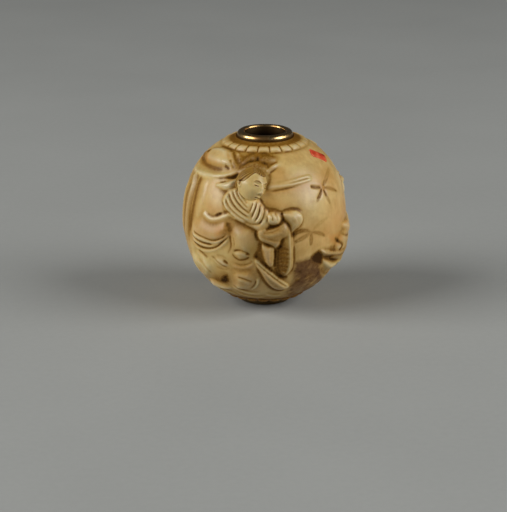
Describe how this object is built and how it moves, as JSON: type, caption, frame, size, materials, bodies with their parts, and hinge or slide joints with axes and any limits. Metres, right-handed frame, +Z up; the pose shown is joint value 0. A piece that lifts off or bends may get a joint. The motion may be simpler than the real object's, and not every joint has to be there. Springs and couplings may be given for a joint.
{
  "type": "carved cord bead",
  "caption": "Round carved cord bead with a robed figure, bamboo and rocks in relief, bored from pole to pole and lined, with a rolled gilt eyelet at each end.",
  "frame": {"origin": "on the bead's axis, in the plane of the lower eyelet's rim that it stands on", "axes": "+Z up along the bore, -Y toward the side with the robed figure, +X to the figure's left"},
  "size_m": [0.0167, 0.017, 0.0174],
  "materials": {
    "bead_body": "polished, stained in the recesses",
    "upper_eyelet": "worn gilt",
    "lower_eyelet": "worn gilt",
    "cord_tube": "dark, dull",
    "lacquer_tablet": "lacquered"
  },
  "bodies": {
    "root": {"bead_body": "bead_body", "upper_eyelet": "upper_eyelet", "lower_eyelet": "lower_eyelet", "cord_tube": "cord_tube", "lacquer_tablet": "lacquer_tablet"}
  },
  "joints": []
}
